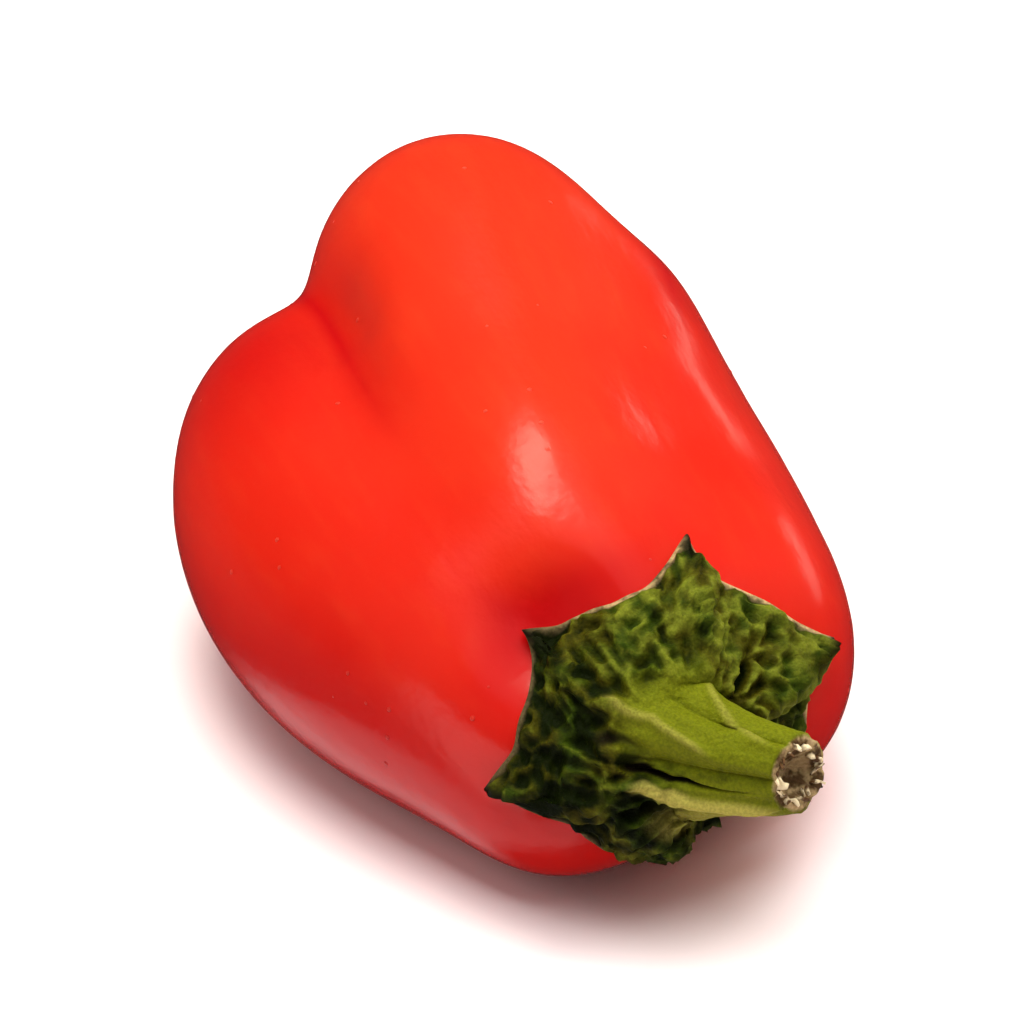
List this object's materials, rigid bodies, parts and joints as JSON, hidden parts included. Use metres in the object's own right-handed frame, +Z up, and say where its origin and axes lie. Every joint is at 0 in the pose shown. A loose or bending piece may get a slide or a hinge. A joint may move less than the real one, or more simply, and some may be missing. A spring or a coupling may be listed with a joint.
{
  "type": "mini sweet pepper",
  "caption": "Small red sweet pepper with soft lobes, lying on its side, with a pointed green cap and a short cut stem.",
  "frame": {"origin": "on the plane that the pepper rests on, under the middle of its box", "axes": "+X along the fruit from the blossom end to the stem, +Z up, +Y across it"},
  "size_m": [0.064, 0.0382, 0.0274],
  "materials": {
    "red_skin": "smooth waxy skin, bright red, glossy",
    "green_cap": "wrinkled green plant tissue, yellow-green on the stem, pale at the cut",
    "dry_remnant": "dry brown plant tissue"
  },
  "bodies": {
    "root": {"fruit": "red_skin", "calyx_and_stem": "green_cap", "style_remnant": "dry_remnant"}
  },
  "joints": []
}
